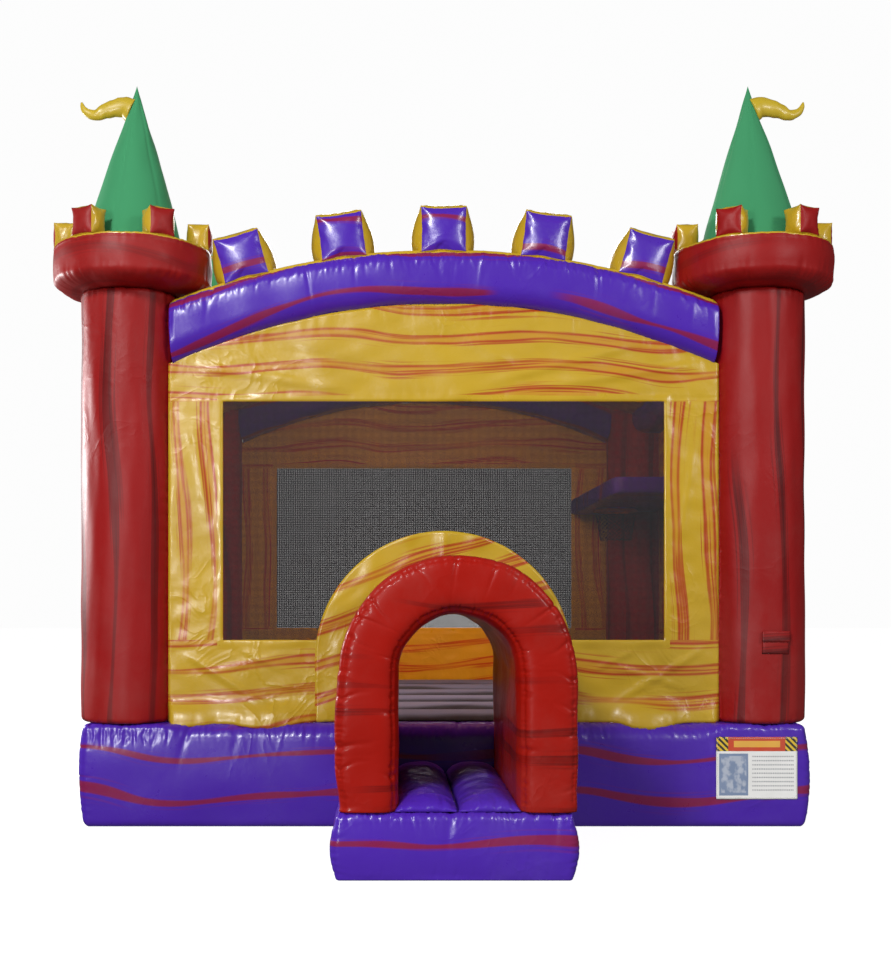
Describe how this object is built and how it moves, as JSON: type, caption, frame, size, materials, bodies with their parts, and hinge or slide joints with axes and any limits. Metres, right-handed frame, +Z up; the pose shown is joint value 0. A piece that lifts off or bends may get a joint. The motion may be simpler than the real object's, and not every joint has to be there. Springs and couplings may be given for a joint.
{
  "type": "inflatable bounce house",
  "caption": "Inflatable castle bounce house with a jumping floor, corner turrets with spires, arched beams, netting walls, a vaulted roof and a tunnel entry on a step.",
  "frame": {"origin": "on the ground under the middle of the outline, step included", "axes": "+X to the right seen from the entry, +Y from the entry to the rear, +Z up"},
  "size_m": [5.0359, 5.955, 4.7798],
  "materials": {
    "purple_vinyl": "glossy coated fabric, violet",
    "red_vinyl": "glossy coated fabric, deep red",
    "yellow_vinyl": "glossy coated fabric, golden yellow with orange marbling",
    "green_vinyl": "glossy coated fabric, green",
    "baffle_mesh": "uncoated woven fabric, pale grey",
    "black_netting": "knotless black netting",
    "black_webbing": "ribbed black webbing",
    "hoop_plastic": "orange",
    "printed_panel": null,
    "steel": "zinc-plated"
  },
  "bodies": {
    "house": {"base_skin": "purple_vinyl", "base_baffles": "baffle_mesh", "jump_floor": "purple_vinyl", "step_skin": "purple_vinyl", "step_pads": "purple_vinyl", "step_baffle": "baffle_mesh", "entry_arch": "red_vinyl", "door_surround": "yellow_vinyl", "column_front_left": "red_vinyl", "column_front_right": "red_vinyl", "column_rear_left": "red_vinyl", "column_rear_right": "red_vinyl", "cap_front_left": "red_vinyl", "cap_front_right": "red_vinyl", "cap_rear_left": "red_vinyl", "cap_rear_right": "red_vinyl", "cap_merlons_front_left": "red_vinyl", "cap_merlons_front_right": "red_vinyl", "cap_merlons_rear_left": "red_vinyl", "cap_merlons_rear_right": "red_vinyl", "spire_front_left": "green_vinyl", "spire_front_right": "green_vinyl", "spire_rear_left": "green_vinyl", "spire_rear_right": "green_vinyl", "flag_front_left": "yellow_vinyl", "flag_front_right": "yellow_vinyl", "flag_rear_left": "yellow_vinyl", "flag_rear_right": "yellow_vinyl", "arch_beam_front": "purple_vinyl", "arch_beam_rear": "purple_vinyl", "side_beam_left": "purple_vinyl", "side_beam_right": "purple_vinyl", "arch_merlons_front": "purple_vinyl", "arch_merlons_rear": "purple_vinyl", "wall_front": "yellow_vinyl", "wall_rear": "yellow_vinyl", "wall_left": "yellow_vinyl", "wall_right": "yellow_vinyl", "net_front": "black_netting", "net_rear": "black_netting", "net_left": "black_netting", "net_right": "black_netting", "roof": "yellow_vinyl", "hoop_shelf": "purple_vinyl", "hoop_rim": "hoop_plastic", "hoop_net": "black_netting", "rules_panel": "printed_panel", "pouch": "red_vinyl", "inlet_sleeve": "red_vinyl", "inlet_strap": "black_webbing", "zip_tape": "black_webbing", "anchor_tabs": "black_webbing"},
    "pouch_cover": {"pouch_flap": "red_vinyl"},
    "zip_pull": {"zip_slider": "steel"},
    "zip_cover": {"zip_flap": "purple_vinyl"},
    "ring_left_front": {"anchor_ring_left_front": "steel"},
    "ring_left_rear": {"anchor_ring_left_rear": "steel"},
    "ring_right_front": {"anchor_ring_right_front": "steel"},
    "ring_right_rear": {"anchor_ring_right_rear": "steel"},
    "ring_rear_left": {"anchor_ring_rear_left": "steel"},
    "ring_rear_right": {"anchor_ring_rear_right": "steel"}
  },
  "joints": [
    {"name": "ring_left_front_swing", "type": "hinge", "parent": "house", "child": "ring_left_front", "pos_m": [-2.314, -0.5775, 0.13], "axis": [0, 1, 0], "range_deg": [0, 120]},
    {"name": "ring_left_rear_swing", "type": "hinge", "parent": "house", "child": "ring_left_rear", "pos_m": [-2.314, 1.9725, 0.13], "axis": [0, 1, 0], "range_deg": [0, 120]},
    {"name": "ring_right_front_swing", "type": "hinge", "parent": "house", "child": "ring_right_front", "pos_m": [2.314, -0.5775, 0.13], "axis": [0, -1, 0], "range_deg": [0, 120]},
    {"name": "ring_right_rear_swing", "type": "hinge", "parent": "house", "child": "ring_right_rear", "pos_m": [2.314, 1.9725, 0.13], "axis": [0, -1, 0], "range_deg": [0, 120]},
    {"name": "ring_rear_left_swing", "type": "hinge", "parent": "house", "child": "ring_rear_left", "pos_m": [-2.05, 2.7865, 0.13], "axis": [1, 0, 0], "range_deg": [0, 120]},
    {"name": "ring_rear_right_swing", "type": "hinge", "parent": "house", "child": "ring_rear_right", "pos_m": [2.05, 2.7865, 0.13], "axis": [1, 0, 0], "range_deg": [0, 120]},
    {"name": "zip_flap_lift", "type": "hinge", "parent": "house", "child": "zip_cover", "pos_m": [-1.19, 2.7925, 0.375], "axis": [1, 0, 0], "range_deg": [0, 150]},
    {"name": "zip_travel", "type": "slide", "parent": "house", "child": "zip_pull", "axis": [1, 0, 0], "range_m": [0, 0.544]},
    {"name": "pouch_flap_lift", "type": "hinge", "parent": "house", "child": "pouch_cover", "pos_m": [2.0795, -1.5, 1.234], "axis": [-0.9903, -0.1392, 0], "range_deg": [0, 100]}
  ]
}
